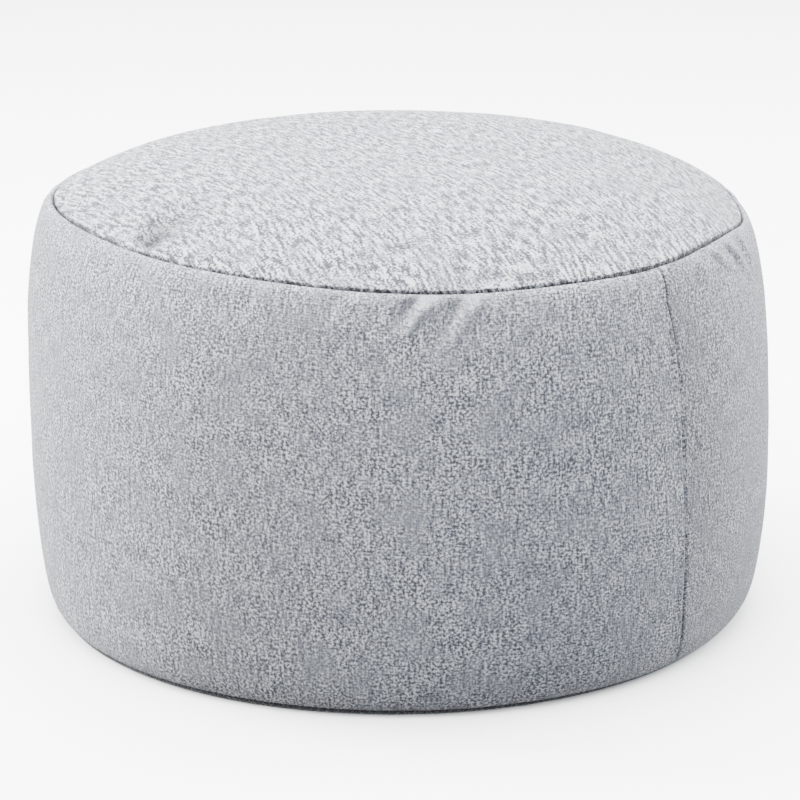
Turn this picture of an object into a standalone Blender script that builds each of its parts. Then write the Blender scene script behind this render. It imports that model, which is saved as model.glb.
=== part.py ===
"""A round drum pouf in one pale grey cloth.

The side band holds the filling and bulges to a belly. A round panel is sewn on top, crowned by the
filling, and another one underneath, flat where the pouf stands. Each seam is a narrow groove: the
panel's rim curls into it, and the band meets it with a soft lip. The drum has settled a little, so
all three pieces share one uneven form. Metres, +Z up, the origin at the centre of the base.
"""

from collections import namedtuple
from math import atan, atan2, cos, degrees, exp, hypot, pi, radians, sin

import bmesh
import bpy

# Driving dimensions
BELLY_RADIUS = 0.250
BELLY_HEIGHT = 0.1247
TOP_SEAM_RADIUS = 0.2281
TOP_SEAM_HEIGHT = 0.2765
CROWN_RISE = 0.0345
BASE_SEAM_RADIUS = 0.2341
BASE_SEAM_HEIGHT = 0.006
CLOTH = 0.0025
GAP = 0.0003

# How full each curve is: the crown stays flat and then falls, the band rounds in above and below
CROWN_POWER = 3.86
SHOULDER_POWER = 2.23
FOOT_POWER = 1.96

# Seams: the curl of each panel's rim, the cloth turned in, and the lip of the band beside it
TOP_CURL = 0.0038
BASE_CURL = 0.0040
TURN_IN = 0.0015
LIP_WIDTH = 0.0037
LIP_DROP = 0.0034
BASE_WALL = 0.2330
CURL_STEPS = 3
LIP_STEPS = 2

# Rings of the crown, as shares of the way to its foot, and rings of the band
CROWN_RINGS = (0.31, 0.57, 0.75, 0.88, 0.955)
PUCKER_RINGS = 6
PUCKER_ZONE = 0.028
SHOULDER_RINGS = 5
FOOT_RINGS = 6
FOOT_CROWDING = 1.8

# The settled form: an uneven belly line, a slight lean, a level difference and two wavy outlines
BELLY_LEAN = -0.0243
TOP_TILT = -0.0116
TOP_SHIFT = 0.0025
Wave = namedtuple("Wave", "count cosine sine")
OUTLINE_WAVES = (
    Wave(count=2, cosine=-0.0075, sine=-0.0036),
    Wave(count=3, cosine=-0.0131, sine=0.0100),
)

# Where sewing pulls the upper rim out or in, up or down, and where the foot is drawn in
Tug = namedtuple("Tug", "angle outward lift")
RIM_TUGS = (
    Tug(angle=-172.0, outward=0.0031, lift=0.0026),
    Tug(angle=-148.0, outward=-0.0017, lift=0.0011),
    Tug(angle=-118.0, outward=0.0000, lift=0.0012),
    Tug(angle=-80.0, outward=-0.0002, lift=-0.0011),
    Tug(angle=-28.0, outward=-0.0012, lift=0.0032),
    Tug(angle=2.0, outward=0.0017, lift=-0.0075),
)
RIM_SPREAD = 16.0
FOOT_TUGS = (
    Tug(angle=-95.0, outward=-0.0019, lift=0.0000),
    Tug(angle=-60.0, outward=-0.0042, lift=0.0000),
    Tug(angle=-25.0, outward=-0.0043, lift=0.0000),
)
FOOT_SPREAD = 24.0
TUG_POWER = 3.0

# The upright join seam of the band, as angles at heights, and its groove with a welt on one side
JoinPoint = namedtuple("JoinPoint", "height angle depth")
JOIN_SEAM = (
    JoinPoint(height=0.010, angle=-41.4, depth=0.0022),
    JoinPoint(height=0.060, angle=-43.1, depth=0.0018),
    JoinPoint(height=0.141, angle=-44.7, depth=0.0014),
    JoinPoint(height=0.238, angle=-46.5, depth=0.0026),
    JoinPoint(height=0.276, angle=-47.3, depth=0.0030),
)
JOIN_SPREAD = 25.0
GROOVE_WIDTH = 0.0022
WELT_OFFSET = 0.0065
WELT_WIDTH = 0.0045
WELT_SHARE = 0.35

# Gathered puckers under the top seam: angle at the seam, drift along the pucker, length, width, depth
Pucker = namedtuple("Pucker", "angle drift reach width depth")
PUCKERS = (
    Pucker(angle=-87.5, drift=-6.6, reach=0.025, width=0.0060, depth=0.0050),
    Pucker(angle=-81.5, drift=-7.2, reach=0.032, width=0.0060, depth=0.0052),
    Pucker(angle=-77.9, drift=-0.2, reach=0.034, width=0.0040, depth=0.0016),
    Pucker(angle=-73.6, drift=-0.3, reach=0.026, width=0.0060, depth=0.0014),
    Pucker(angle=-98.7, drift=-3.0, reach=0.026, width=0.0090, depth=0.0016),
    Pucker(angle=-113.2, drift=-0.5, reach=0.028, width=0.0090, depth=0.0014),
    Pucker(angle=-137.2, drift=7.0, reach=0.030, width=0.0080, depth=0.0024),
    Pucker(angle=-56.8, drift=-1.5, reach=0.020, width=0.0075, depth=0.0018),
    Pucker(angle=-42.0, drift=6.0, reach=0.030, width=0.0070, depth=0.0022),
    Pucker(angle=-35.6, drift=4.0, reach=0.026, width=0.0070, depth=0.0022),
    Pucker(angle=-28.2, drift=7.0, reach=0.028, width=0.0075, depth=0.0030),
    Pucker(angle=-19.0, drift=-0.5, reach=0.028, width=0.0080, depth=0.0030),
)
PUCKER_RIDGE = 1.6
PUCKER_ONSET = 0.18
PUCKER_TAPER = 1.2

# Pulled-in troughs on the top panel, running inwards from the seam
Dent = namedtuple("Dent", "angle drift outer inner width depth")
DENTS = (
    Dent(angle=-139.2, drift=-1.5, outer=0.224, inner=0.172, width=0.0120, depth=0.0052),
)

# Meridians around the drum, close together where the puckers and the join seam are
FIRST_MERIDIAN = -155.0
Arc = namedtuple("Arc", "sweep steps")
ARCS = (
    Arc(sweep=30.0, steps=10),
    Arc(sweep=30.0, steps=8),
    Arc(sweep=20.0, steps=18),
    Arc(sweep=24.7, steps=7),
    Arc(sweep=1.7, steps=1),
    Arc(sweep=0.8, steps=1),
    Arc(sweep=1.0, steps=2),
    Arc(sweep=0.8, steps=1),
    Arc(sweep=1.7, steps=1),
    Arc(sweep=32.0, steps=15),
    Arc(sweep=217.3, steps=26),
)
MERGE_DISTANCE = 0.00001
SMOOTH_ANGLE = 50.0

# Cloth: a pale cool grey, as linear colour
CLOTH_COLOUR = (0.49, 0.50, 0.53, 1.0)
CLOTH_ROUGHNESS = 0.92


def clear_scene():
    for obj in list(bpy.data.objects):
        bpy.data.objects.remove(obj, do_unlink=True)


def ease(share):
    share = min(max(share, 0.0), 1.0)
    return share * share * (3.0 - 2.0 * share)


def away_from(centre, angle):
    """Degrees from a centre to an angle, the short way round."""
    return (angle - centre + 180.0) % 360.0 - 180.0


# Neutral profiles, as (radius, height) from the axis outwards


def crown_height(radius):
    return TOP_SEAM_HEIGHT + CROWN_RISE * (1.0 - (radius / TOP_SEAM_RADIUS) ** CROWN_POWER)


def side_radius(height):
    """Radius of the band at a height: a fuller curve above the belly than below it."""
    if height >= BELLY_HEIGHT:
        share = (height - BELLY_HEIGHT) / (TOP_SEAM_HEIGHT - BELLY_HEIGHT)
        seam, power = TOP_SEAM_RADIUS, SHOULDER_POWER
    else:
        share = (BELLY_HEIGHT - height) / (BELLY_HEIGHT - BASE_SEAM_HEIGHT)
        seam, power = BASE_SEAM_RADIUS, FOOT_POWER
    return seam + (BELLY_RADIUS - seam) * (1.0 - share ** power) ** (1.0 / power)


def lip_point(width, seam, seam_height, power):
    """Where the band starts to turn into its seam: radius, height and steepness there."""
    rise = seam_height - BELLY_HEIGHT
    share = width / (BELLY_RADIUS - seam)
    left = 1.0 - share ** power
    height = BELLY_HEIGHT + rise * left ** (1.0 / power)
    steepness = -rise / (BELLY_RADIUS - seam) * share ** (power - 1.0) * left ** (1.0 / power - 1.0)
    return seam + width, height, steepness


def curl(centre_radius, centre_height, radius, start, upwards):
    """A panel's rim turning from its fall to upright."""
    points = []
    for step in range(CURL_STEPS + 1):
        turn = start + (pi / 2.0 - start) * step / CURL_STEPS
        rise = -radius * cos(turn) if upwards else radius * cos(turn)
        points.append((centre_radius + radius * sin(turn), centre_height + rise))
    return points


def bend(start, corner, end):
    """A soft lip between two straight directions that meet at a corner."""
    points = []
    for step in range(LIP_STEPS + 1):
        t = step / LIP_STEPS
        weights = ((1.0 - t) ** 2, 2.0 * t * (1.0 - t), t * t)
        points.append(tuple(
            sum(weight * point[axis] for weight, point in zip(weights, (start, corner, end)))
            for axis in range(2)
        ))
    return points


def offset(profile, distance):
    """The profile moved square to itself, to its right by a distance above zero."""
    moved = []
    last = len(profile) - 1
    for index, (radius, height) in enumerate(profile):
        before = profile[max(index - 1, 0)]
        after = profile[min(index + 1, last)]
        arriving = atan2(height - before[1], radius - before[0])
        leaving = atan2(after[1] - height, after[0] - radius)
        if index == 0:
            arriving = leaving
        if index == last:
            leaving = arriving
        heading = (arriving + leaving) / 2.0
        reach = distance / cos((leaving - arriving) / 2.0)
        moved_radius = radius + reach * sin(heading) if radius > 0.0 else 0.0
        moved.append((moved_radius, height - reach * cos(heading)))
    return moved


def top_panel_outside():
    rim = TOP_SEAM_RADIUS - GAP
    fall = atan(CROWN_RISE * CROWN_POWER / TOP_SEAM_RADIUS)
    foot = rim - TOP_CURL * (1.0 - sin(fall))
    crown = [(0.0, crown_height(0.0))]
    crown += [(foot * share, crown_height(foot * share)) for share in CROWN_RINGS]
    rolled = curl(rim - TOP_CURL, crown_height(foot) - TOP_CURL * cos(fall), TOP_CURL, fall, False)
    return crown + rolled + [(rim, rolled[-1][1] - TURN_IN)]


def base_panel_outside():
    rim = BASE_WALL - GAP
    rolled = curl(rim - BASE_CURL, BASE_CURL, BASE_CURL, 0.0, True)
    return [(0.0, 0.0)] + rolled + [(rim, rolled[-1][1] + TURN_IN)]


def band_side():
    """The outside of the band from the lower seam's wall up to the upper seam's wall."""
    low_width = BASE_WALL + LIP_WIDTH - BASE_SEAM_RADIUS
    low_radius, low_height, low_slope = lip_point(
        low_width, BASE_SEAM_RADIUS, BASE_SEAM_HEIGHT, FOOT_POWER)
    high_radius, high_height, high_slope = lip_point(
        LIP_WIDTH, TOP_SEAM_RADIUS, TOP_SEAM_HEIGHT, SHOULDER_POWER)
    low_corner = (BASE_WALL, low_height - low_slope * (low_radius - BASE_WALL))
    low_wall = (BASE_WALL, low_corner[1] + LIP_DROP)
    high_corner = (TOP_SEAM_RADIUS, high_height - high_slope * LIP_WIDTH)
    high_wall = (TOP_SEAM_RADIUS, high_corner[1] - LIP_DROP)

    heights = []
    for step in range(1, FOOT_RINGS + 1):
        share = (step / FOOT_RINGS) ** FOOT_CROWDING
        heights.append(low_height + (BELLY_HEIGHT - low_height) * share)
    pucker_foot = high_height - PUCKER_ZONE
    for step in range(1, SHOULDER_RINGS + 1):
        heights.append(BELLY_HEIGHT + (pucker_foot - BELLY_HEIGHT) * step / SHOULDER_RINGS)
    for step in range(1, PUCKER_RINGS):
        heights.append(pucker_foot + PUCKER_ZONE * step / PUCKER_RINGS)

    low_lip = bend(low_wall, low_corner, (low_radius, low_height))
    high_lip = bend((high_radius, high_height), high_corner, high_wall)
    return low_lip + [(side_radius(height), height) for height in heights] + high_lip


def sheet(outside, inwards):
    """A closed profile of one thickness of cloth: inwards is 1 for a top panel, -1 for a base."""
    return outside + offset(outside, CLOTH * inwards)[::-1]


def filled_drum(top_outside, base_outside):
    """The band and its filling, ending just under each panel."""
    top_seat = offset(top_outside, CLOTH + GAP)
    base_seat = offset(base_outside, -CLOTH - GAP)
    base_floor = base_outside[-1][1] + GAP
    top_floor = top_outside[-1][1] - GAP
    base_trench = [(base_seat[-1][0], base_floor), (BASE_WALL, base_floor)]
    top_trench = [(TOP_SEAM_RADIUS, top_floor), (top_seat[-1][0], top_floor)]
    return base_seat + base_trench + band_side() + top_trench + top_seat[::-1]


# The settled form, shared by all pieces


def join_at(height):
    """Angle and depth of the join seam at a height."""
    rows = JOIN_SEAM
    height = min(max(height, rows[0].height), rows[-1].height)
    for low, high in zip(rows, rows[1:]):
        if height <= high.height:
            break
    share = (height - low.height) / (high.height - low.height)
    angle = low.angle + (high.angle - low.angle) * share
    return angle, low.depth + (high.depth - low.depth) * share


def with_join(angle, height):
    """The cloth's upright lines drift with the join seam, less and less away from it."""
    top_angle = JOIN_SEAM[-1].angle
    nearness = exp(-((away_from(top_angle, angle) / JOIN_SPREAD) ** 2))
    return angle + (join_at(height)[0] - top_angle) * nearness


def pucker_depth(radius, angle, below):
    """How far the band's surface moves in, below the upper lip, because it is gathered."""
    depth = 0.0
    for pucker in PUCKERS:
        along = below / pucker.reach
        if 0.0 < along < 1.0:
            centre = pucker.angle + pucker.drift * along
            across = radius * radians(away_from(centre, angle)) / pucker.width
            hollow = (1.0 - PUCKER_RIDGE * across ** 2) * exp(-across ** 2)
            taper = ease(along / PUCKER_ONSET) * (1.0 - along) ** PUCKER_TAPER
            depth += pucker.depth * hollow * taper
    return depth


def join_depth(radius, angle, height):
    """The groove of the join seam, less the welt of turned-in cloth beside it."""
    centre, depth = join_at(height)
    across = radius * radians(away_from(centre, angle))
    groove = exp(-((across / GROOVE_WIDTH) ** 2))
    welt = WELT_SHARE * exp(-(((across + WELT_OFFSET) / WELT_WIDTH) ** 2))
    return depth * (groove - welt)


def band_depth(radius, angle, height):
    """All that is sewn or gathered into the band, fading out on both lips."""
    wall = TOP_SEAM_RADIUS if height > BELLY_HEIGHT else BASE_WALL
    fade = ease((radius - wall) / LIP_WIDTH)
    below = TOP_SEAM_HEIGHT - height
    return fade * (pucker_depth(radius, angle, below) + join_depth(radius, angle, height))


def dent_depth(radius, angle):
    """How far the top panel is pulled down near its seam."""
    depth = 0.0
    for dent in DENTS:
        along = (dent.outer - radius) / (dent.outer - dent.inner)
        if 0.0 < along < 1.0:
            centre = dent.angle + dent.drift * along
            across = radius * radians(away_from(centre, angle)) / dent.width
            hollow = (1.0 - across ** 2) * exp(-across ** 2)
            depth += dent.depth * hollow * sin(pi * along) ** 2
    return depth


def tugged(tugs, spread, angle):
    """How far a row of tugs pulls outwards and upwards at an angle."""
    shares = [exp(-((away_from(tug.angle, angle) / spread) ** 2)) for tug in tugs]
    outward = sum(share * tug.outward for share, tug in zip(shares, tugs))
    lift = sum(share * tug.lift for share, tug in zip(shares, tugs))
    return outward, lift


def rim_tug(radius, angle, height):
    """The pull here: strong at both rims, fading towards the belly and the middle of each panel."""
    near_top = (height / TOP_SEAM_HEIGHT * min(radius / TOP_SEAM_RADIUS, 1.0)) ** TUG_POWER
    near_foot = max(0.0, 1.0 - height / BELLY_HEIGHT) ** TUG_POWER * min(radius / BASE_SEAM_RADIUS, 1.0)
    outward, lift = tugged(RIM_TUGS, RIM_SPREAD, angle)
    drawn_in = tugged(FOOT_TUGS, FOOT_SPREAD, angle)[0]
    return near_top * outward + near_foot * drawn_in, near_top * lift


def settled(point):
    """Where a point of the neutral drum lies on the real one."""
    radius = hypot(point.x, point.y)
    height = point.z
    angle = with_join(degrees(atan2(point.y, point.x)), height)
    if radius > TOP_SEAM_RADIUS:
        radius -= band_depth(radius, angle, height)
    elif height > BELLY_HEIGHT:
        height -= dent_depth(radius, angle)
    turn = radians(angle)
    raised = height / TOP_SEAM_HEIGHT
    wavy = sum(wave.cosine * cos(wave.count * turn) + wave.sine * sin(wave.count * turn)
               for wave in OUTLINE_WAVES)
    outward, lift = rim_tug(radius, angle, height)
    grown = radius * (1.0 + raised * wavy) + outward
    if height < BELLY_HEIGHT:
        tent = height / BELLY_HEIGHT
    else:
        tent = max(0.0, (TOP_SEAM_HEIGHT - height) / (TOP_SEAM_HEIGHT - BELLY_HEIGHT))
    sideways = radius * cos(turn)
    lean = BELLY_LEAN * tent * sideways / BELLY_RADIUS + TOP_TILT * raised * sideways
    return (grown * cos(turn) + TOP_SHIFT * raised, grown * sin(turn), height + lean + lift)


def turned_piece(name, profile, material):
    """One closed piece, turned from its profile and settled."""
    mesh = bpy.data.meshes.new(name)
    bm = bmesh.new()
    start = radians(FIRST_MERIDIAN)
    ring = [bm.verts.new((radius * cos(start), radius * sin(start), height)) for radius, height in profile]
    edges = [bm.edges.new(pair) for pair in zip(ring, ring[1:])]
    front = ring + edges
    for arc in ARCS:
        spun = bmesh.ops.spin(
            bm, geom=front, cent=(0.0, 0.0, 0.0), axis=(0.0, 0.0, 1.0),
            angle=radians(arc.sweep), steps=arc.steps, use_merge=False)
        front = spun["geom_last"]
    bmesh.ops.remove_doubles(bm, verts=bm.verts[:], dist=MERGE_DISTANCE)
    for vert in bm.verts:
        vert.co = settled(vert.co)
    bmesh.ops.recalc_face_normals(bm, faces=bm.faces[:])
    bm.to_mesh(mesh)
    bm.free()
    mesh.materials.append(material)
    mesh.shade_smooth()
    mesh.set_sharp_from_angle(angle=radians(SMOOTH_ANGLE))
    piece = bpy.data.objects.new(name, mesh)
    bpy.context.scene.collection.objects.link(piece)
    return piece


def cloth_material():
    material = bpy.data.materials.new("cover_cloth")
    material.use_nodes = True
    shader = material.node_tree.nodes["Principled BSDF"]
    shader.inputs["Base Color"].default_value = CLOTH_COLOUR
    shader.inputs["Roughness"].default_value = CLOTH_ROUGHNESS
    shader.inputs["Metallic"].default_value = 0.0
    return material


def make_top_panel(material):
    return turned_piece("top_panel", sheet(top_panel_outside(), 1.0), material)


def make_side_band(material):
    return turned_piece("side_band", filled_drum(top_panel_outside(), base_panel_outside()), material)


def make_base_panel(material):
    return turned_piece("base_panel", sheet(base_panel_outside(), -1.0), material)


def build():
    clear_scene()
    material = cloth_material()
    make_base_panel(material)
    make_side_band(material)
    make_top_panel(material)


build()
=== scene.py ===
# %% [markdown]
# # A round drum pouf in heathered grey cloth
# The pouf is a firmly filled drum. A maker cuts a long band and two round panels from one upholstery
# cloth, closes the band with an upright join seam, sews a panel to each edge and fills it tight.
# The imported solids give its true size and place. This lesson makes the three cloth pieces again,
# finely, in the same place, and gives them the woven cloth that the plain solids can't show.

# %% Load the frame
from collections import namedtuple
from math import atan, atan2, cos, degrees, exp, hypot, pi, radians, sin

import bmesh
import bpy
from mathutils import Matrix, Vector, noise


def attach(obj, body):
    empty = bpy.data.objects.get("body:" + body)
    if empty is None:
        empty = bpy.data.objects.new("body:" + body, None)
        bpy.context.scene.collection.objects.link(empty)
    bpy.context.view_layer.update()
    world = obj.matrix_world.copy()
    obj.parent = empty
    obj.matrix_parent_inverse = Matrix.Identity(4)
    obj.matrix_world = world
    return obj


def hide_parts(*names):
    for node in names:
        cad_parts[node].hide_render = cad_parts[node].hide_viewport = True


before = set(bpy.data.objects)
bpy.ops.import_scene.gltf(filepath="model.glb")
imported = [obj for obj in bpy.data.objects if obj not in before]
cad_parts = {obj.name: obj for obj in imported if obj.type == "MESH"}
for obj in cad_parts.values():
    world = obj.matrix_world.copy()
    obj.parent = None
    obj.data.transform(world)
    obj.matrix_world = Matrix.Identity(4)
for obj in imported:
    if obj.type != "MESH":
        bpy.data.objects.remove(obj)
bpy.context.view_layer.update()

# %% [markdown]
# ## Sizes
# All lengths are metres. The belly, the two seams and the crown are the same driving sizes as the
# solids', because the cloth has to lie where they do. The seams are finer here: real cloth is about
# 1.6 mm thick and turns more sharply into a seam than a coarse solid can.

# %% Driving sizes
BELLY_RADIUS = 0.250
BELLY_HEIGHT = 0.1247
TOP_SEAM_RADIUS = 0.2281
TOP_SEAM_HEIGHT = 0.2765
BASE_SEAM_RADIUS = 0.2341
BASE_SEAM_HEIGHT = 0.006
CROWN_RISE = 0.0345
CROWN_POWER = 3.86
SHOULDER_POWER = 2.23
FOOT_POWER = 1.96
CLOTH = 0.0016
SEAT_GAP = 0.0008

TOP_CURL = 0.0027          # radius of the top panel's rolled rim
BASE_CURL = 0.0040         # radius of the base panel's rolled rim
TURN_IN = 0.0034           # how far the cloth runs on into a seam
LIP_WIDTH = 0.0042         # how far out of its seam the band starts to turn in
LIP_DROP = 0.0052          # how far down the turned lip runs
BASE_WALL = 0.2330         # radius where the band and the base panel meet
SEAM_GAP = 0.0006          # between two faces that are sewn together
LIP_SINK = 0.0013          # how far the stitches pull the band's upper edge down
LIP_SPREAD = 0.0085        # how far out of the seam that pull reaches

# %% [markdown]
# ## The settled form
# No filled cover stays a perfect drum. This one leans its belly up on the left, its top slopes a
# little, and its outline is slightly out of round. Sewing also tugs the upper rim in a few places
# and draws the foot in at the right.
# One function carries every point of a neat drum to its place on the settled one, so that pieces
# modelled apart still meet along their seams.

# %% How the drum has settled
BELLY_LEAN = -0.0243
TOP_TILT = -0.0116
TOP_SHIFT = 0.0025
Wave = namedtuple("Wave", "count cosine sine")
OUTLINE_WAVES = (
    Wave(count=2, cosine=-0.0075, sine=-0.0036),
    Wave(count=3, cosine=-0.0131, sine=0.0100),
)
Tug = namedtuple("Tug", "angle outward lift")
RIM_TUGS = (
    Tug(angle=-172.0, outward=0.0031, lift=0.0026),
    Tug(angle=-148.0, outward=-0.0017, lift=0.0011),
    Tug(angle=-118.0, outward=0.0000, lift=0.0012),
    Tug(angle=-80.0, outward=-0.0002, lift=-0.0011),
    Tug(angle=-66.0, outward=0.0000, lift=0.0015),
    Tug(angle=-28.0, outward=-0.0012, lift=0.0032),
    Tug(angle=2.0, outward=0.0017, lift=-0.0075),
)
RIM_SPREAD = 16.0
FOOT_TUGS = (
    Tug(angle=-95.0, outward=-0.0019, lift=0.0000),
    Tug(angle=-60.0, outward=-0.0042, lift=0.0000),
    Tug(angle=-25.0, outward=-0.0043, lift=0.0000),
)
FOOT_SPREAD = 24.0
TUG_POWER = 3.0


def away_from(centre, angle):
    """Degrees from a centre to an angle, the short way round."""
    return (angle - centre + 180.0) % 360.0 - 180.0


def ease(share):
    """A smooth step from 0 to 1, level at both ends."""
    share = min(max(share, 0.0), 1.0)
    return share * share * (3.0 - 2.0 * share)


def tugged(tugs, spread, angle):
    """How far a row of tugs pulls outwards and upwards at an angle."""
    shares = [exp(-((away_from(tug.angle, angle) / spread) ** 2)) for tug in tugs]
    outward = sum(share * tug.outward for share, tug in zip(shares, tugs))
    lift = sum(share * tug.lift for share, tug in zip(shares, tugs))
    return outward, lift


def rim_tug(radius, angle, height):
    """The pull here: strong at both rims, fading towards the belly and the middle of each panel."""
    near_top = (height / TOP_SEAM_HEIGHT * min(radius / TOP_SEAM_RADIUS, 1.0)) ** TUG_POWER
    near_foot = max(0.0, 1.0 - height / BELLY_HEIGHT) ** TUG_POWER * min(radius / BASE_SEAM_RADIUS, 1.0)
    outward, lift = tugged(RIM_TUGS, RIM_SPREAD, angle)
    drawn_in = tugged(FOOT_TUGS, FOOT_SPREAD, angle)[0]
    return near_top * outward + near_foot * drawn_in, near_top * lift


def settled(radius, angle, height):
    """Where a point of the neat drum lies on the settled one."""
    turn = radians(angle)
    raised = height / TOP_SEAM_HEIGHT
    wavy = sum(wave.cosine * cos(wave.count * turn) + wave.sine * sin(wave.count * turn)
               for wave in OUTLINE_WAVES)
    outward, lift = rim_tug(radius, angle, height)
    grown = radius * (1.0 + raised * wavy) + outward
    if height < BELLY_HEIGHT:
        tent = height / BELLY_HEIGHT
    else:
        tent = max(0.0, (TOP_SEAM_HEIGHT - height) / (TOP_SEAM_HEIGHT - BELLY_HEIGHT))
    sideways = radius * cos(turn)
    lean = BELLY_LEAN * tent * sideways / BELLY_RADIUS + TOP_TILT * raised * sideways
    return Vector((grown * cos(turn) + TOP_SHIFT * raised, grown * sin(turn), height + lean + lift))


for side, angle in (("right", 0.0), ("left", 180.0)):
    rim_point = settled(TOP_SEAM_RADIUS, angle, TOP_SEAM_HEIGHT)
    print("upper rim at the", side, [round(value, 4) for value in rim_point])

# %% [markdown]
# ## Outlines to turn
# Each piece is a profile spun round the upright axis, because the cover was sewn from a band and two
# discs. The band swells in two unequal curves. The top panel lies nearly flat in the middle and falls
# to its seam. Both end in a small roll where the cloth turns inwards, which is what makes a sewn edge
# look sewn instead of cut.

# %% Profiles
ROLL_STEPS = 7


def crown_height(radius):
    """Height of the top panel at a distance from its middle."""
    return TOP_SEAM_HEIGHT + CROWN_RISE * (1.0 - (radius / TOP_SEAM_RADIUS) ** CROWN_POWER)


def side_radius(height):
    """How far out the band stands at a height, above or below the belly."""
    if height >= BELLY_HEIGHT:
        share = (height - BELLY_HEIGHT) / (TOP_SEAM_HEIGHT - BELLY_HEIGHT)
        seam, power = TOP_SEAM_RADIUS, SHOULDER_POWER
    else:
        share = (BELLY_HEIGHT - height) / (BELLY_HEIGHT - BASE_SEAM_HEIGHT)
        seam, power = BASE_SEAM_RADIUS, FOOT_POWER
    return seam + (BELLY_RADIUS - seam) * (1.0 - share ** power) ** (1.0 / power)


def lip_point(width, seam, seam_height, power):
    """Radius, height and steepness where the band starts to turn into its seam."""
    rise = seam_height - BELLY_HEIGHT
    share = width / (BELLY_RADIUS - seam)
    left = 1.0 - share ** power
    height = BELLY_HEIGHT + rise * left ** (1.0 / power)
    steepness = -rise / (BELLY_RADIUS - seam) * share ** (power - 1.0) * left ** (1.0 / power - 1.0)
    return seam + width, height, steepness


def curl(centre_radius, centre_height, radius, start, side):
    """A rim rolling over to upright: side is 1 for a fall and -1 for a rise."""
    turns = [start + (pi / 2.0 - start) * step / ROLL_STEPS for step in range(ROLL_STEPS + 1)]
    return [(centre_radius + radius * sin(turn), centre_height + side * radius * cos(turn))
            for turn in turns]


def bend(start, corner, end):
    """A soft lip between two straight directions that meet at a corner."""
    points = []
    for step in range(ROLL_STEPS + 1):
        t = step / ROLL_STEPS
        weights = ((1.0 - t) ** 2, 2.0 * t * (1.0 - t), t * t)
        points.append(tuple(
            sum(weight * point[axis] for weight, point in zip(weights, (start, corner, end)))
            for axis in range(2)
        ))
    return points


def spaced(low, high, steps, crowding=1.0):
    """Values from low to high, left out at both ends, crowded towards high when crowding is over 1."""
    return [high - (high - low) * (1.0 - step / steps) ** crowding for step in range(1, steps)]


CROWN_RINGS = 46
CROWN_CROWDING = 1.4
BASE_RINGS = 8


def top_outside():
    """The top panel's outer face, from its middle to the end of its turned-in rim."""
    rim = TOP_SEAM_RADIUS - SEAM_GAP
    fall = atan(CROWN_RISE * CROWN_POWER / TOP_SEAM_RADIUS)
    foot = rim - TOP_CURL * (1.0 - sin(fall))
    radii = [0.0] + spaced(0.0, foot, CROWN_RINGS, CROWN_CROWDING)
    crown = [(radius, crown_height(radius)) for radius in radii]
    rolled = curl(rim - TOP_CURL, crown_height(foot) - TOP_CURL * cos(fall), TOP_CURL, fall, 1.0)
    return crown + rolled + [(rim, rolled[-1][1] - TURN_IN)]


def base_outside():
    """The base panel's outer face, the same way."""
    rim = BASE_WALL - SEAM_GAP
    rolled = curl(rim - BASE_CURL, BASE_CURL, BASE_CURL, 0.0, -1.0)
    flat = [(radius, 0.0) for radius in spaced(0.0, rim - BASE_CURL, BASE_RINGS)]
    return [(0.0, 0.0)] + flat + rolled + [(rim, rolled[-1][1] + TURN_IN)]


FOOT_RINGS = 26
FOOT_CROWDING = 1.6
SHOULDER_RINGS = 22
PUCKER_RINGS = 32
PUCKER_CROWDING = 1.2
PUCKER_ZONE = 0.036        # metres under the top lip with closer rings, for the puckers
SEAT_RINGS = 14


def lip_sink(radius):
    """How far the stitching pulls the band's upper edge down."""
    return LIP_SINK * (1.0 - ease((radius - TOP_SEAM_RADIUS) / LIP_SPREAD))


def band_outside():
    """The band's outer face, from its lower lip over the belly to its upper lip."""
    low_radius, low_height, low_slope = lip_point(
        BASE_WALL + LIP_WIDTH - BASE_SEAM_RADIUS, BASE_SEAM_RADIUS, BASE_SEAM_HEIGHT, FOOT_POWER)
    high_radius, high_height, high_slope = lip_point(
        LIP_WIDTH, TOP_SEAM_RADIUS, TOP_SEAM_HEIGHT, SHOULDER_POWER)
    low_corner = (BASE_WALL, low_height - low_slope * (low_radius - BASE_WALL))
    high_corner = (TOP_SEAM_RADIUS, high_height - high_slope * LIP_WIDTH)
    low_lip = bend((BASE_WALL, low_corner[1] + LIP_DROP), low_corner, (low_radius, low_height))
    high_lip = bend((high_radius, high_height), high_corner, (TOP_SEAM_RADIUS, high_corner[1] - LIP_DROP))
    high_lip = [(radius, height - lip_sink(radius)) for radius, height in high_lip]
    pucker_foot = high_height - PUCKER_ZONE
    heights = spaced(BELLY_HEIGHT, low_height, FOOT_RINGS, FOOT_CROWDING)[::-1] + [BELLY_HEIGHT]
    heights += spaced(BELLY_HEIGHT, pucker_foot, SHOULDER_RINGS) + [pucker_foot]
    heights += spaced(pucker_foot, high_height, PUCKER_RINGS, PUCKER_CROWDING)
    side = []
    for height in heights:
        radius = side_radius(height)
        sink = lip_sink(radius) if height > BELLY_HEIGHT else 0.0
        side.append((radius, height - sink))
    return low_lip + side + high_lip


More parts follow.
